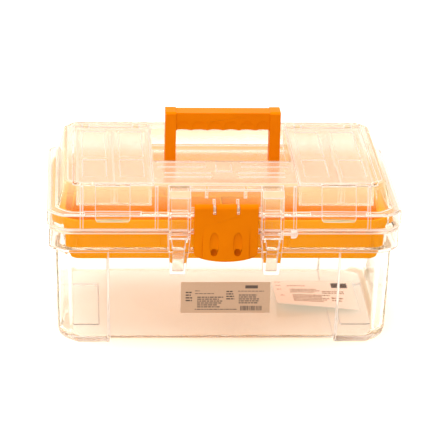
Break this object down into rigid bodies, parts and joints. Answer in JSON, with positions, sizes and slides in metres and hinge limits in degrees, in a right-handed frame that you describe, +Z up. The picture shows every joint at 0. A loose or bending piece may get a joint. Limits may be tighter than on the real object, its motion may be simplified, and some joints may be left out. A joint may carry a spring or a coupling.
{
  "type": "art supply box",
  "caption": "Clear plastic art supply box with flip-top compartments in its lid, a folding handle, a front latch and a lift-out tray.",
  "frame": {"origin": "middle of the footprint, on the surface that the feet stand on", "axes": "+X along the box's width, -Y towards the latch side, +Z up"},
  "size_m": [0.33, 0.212, 0.208],
  "materials": {
    "clear_plastic": "clear, slightly milky injection-moulded plastic with bright edges",
    "orange_plastic": "satin moulded plastic",
    "pin_steel": "plain drawn wire",
    "tag_plastic": "milky clear nylon",
    "label_film": null,
    "card": null
  },
  "bodies": {
    "base": {"base_tub": "clear_plastic", "front_label": "label_film", "info_card": "card", "left_hinge_pin": "pin_steel", "right_hinge_pin": "pin_steel"},
    "lid": {"lid_shell": "clear_plastic", "latch_pin": "clear_plastic", "tag_pin": "tag_plastic", "left_bin_divider": "clear_plastic", "right_bin_divider": "clear_plastic", "left_bin_lid_pin": "pin_steel", "right_bin_lid_pin": "pin_steel", "left_handle_pin": "pin_steel", "right_handle_pin": "pin_steel"},
    "tray": {"tray": "orange_plastic"},
    "handle": {"handle": "orange_plastic"},
    "latch": {"latch": "orange_plastic"},
    "left_bin_lid": {"left_bin_lid": "clear_plastic"},
    "right_bin_lid": {"right_bin_lid": "clear_plastic"}
  },
  "joints": [
    {"name": "lid_hinge", "type": "hinge", "parent": "base", "child": "lid", "pos_m": [0, 0.1018, 0.1184], "axis": [-1, 0, 0], "range_deg": [0, 105]},
    {"name": "tray_lift", "type": "slide", "parent": "base", "child": "tray", "axis": [0, 0, 1], "range_m": [0, 0.0035]},
    {"name": "handle_fold", "type": "hinge", "parent": "lid", "child": "handle", "pos_m": [0, -0.014, 0.15], "axis": [-1, 0, 0], "range_deg": [0, 90]},
    {"name": "latch_swing", "type": "hinge", "parent": "lid", "child": "latch", "pos_m": [0, -0.1003, 0.1413], "axis": [-1, 0, 0], "range_deg": [0, 120]},
    {"name": "left_bin_lid_hinge", "type": "hinge", "parent": "lid", "child": "left_bin_lid", "pos_m": [-0.104, 0.072, 0.1605], "axis": [-1, 0, 0], "range_deg": [0, 110]},
    {"name": "right_bin_lid_hinge", "type": "hinge", "parent": "lid", "child": "right_bin_lid", "pos_m": [0.104, 0.072, 0.1605], "axis": [-1, 0, 0], "range_deg": [0, 110]}
  ]
}
